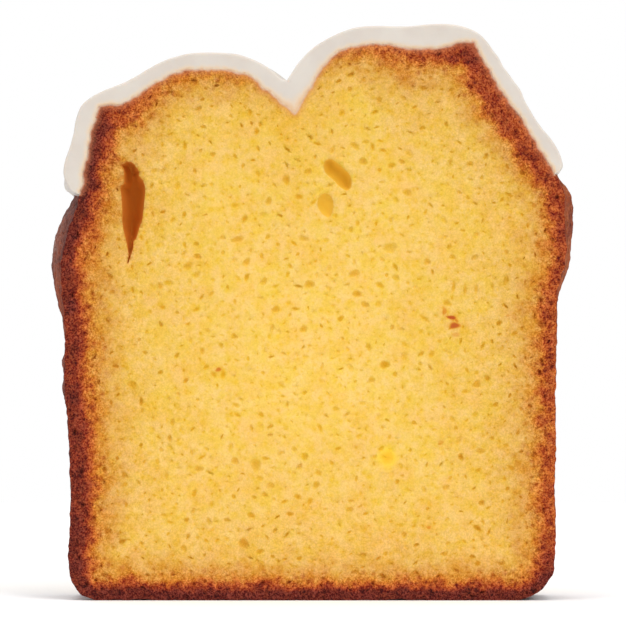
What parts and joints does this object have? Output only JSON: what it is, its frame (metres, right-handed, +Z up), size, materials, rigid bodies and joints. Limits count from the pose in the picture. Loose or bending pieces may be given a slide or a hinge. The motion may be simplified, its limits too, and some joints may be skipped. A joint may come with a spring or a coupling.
{
  "type": "slice of iced lemon loaf cake",
  "caption": "Upright slice of yellow lemon loaf cake with a browned crust, a split top and white poured icing over its humps and shoulders; rests on its baked base.",
  "frame": {"origin": "middle of the slice's footprint box, on the surface that its baked base stands on", "axes": "+Z up from the base to the icing, +X to the right as the front cut is seen, -Y out of the front cut"},
  "size_m": [0.106, 0.022, 0.1154],
  "materials": {
    "crumb": "soft open yellow crumb with a dark orange-brown baked skin, matte",
    "icing": "set warm white sugar icing, satin where it was poured and dull where it was cut"
  },
  "bodies": {
    "root": {"cake": "crumb", "icing": "icing"}
  },
  "joints": []
}
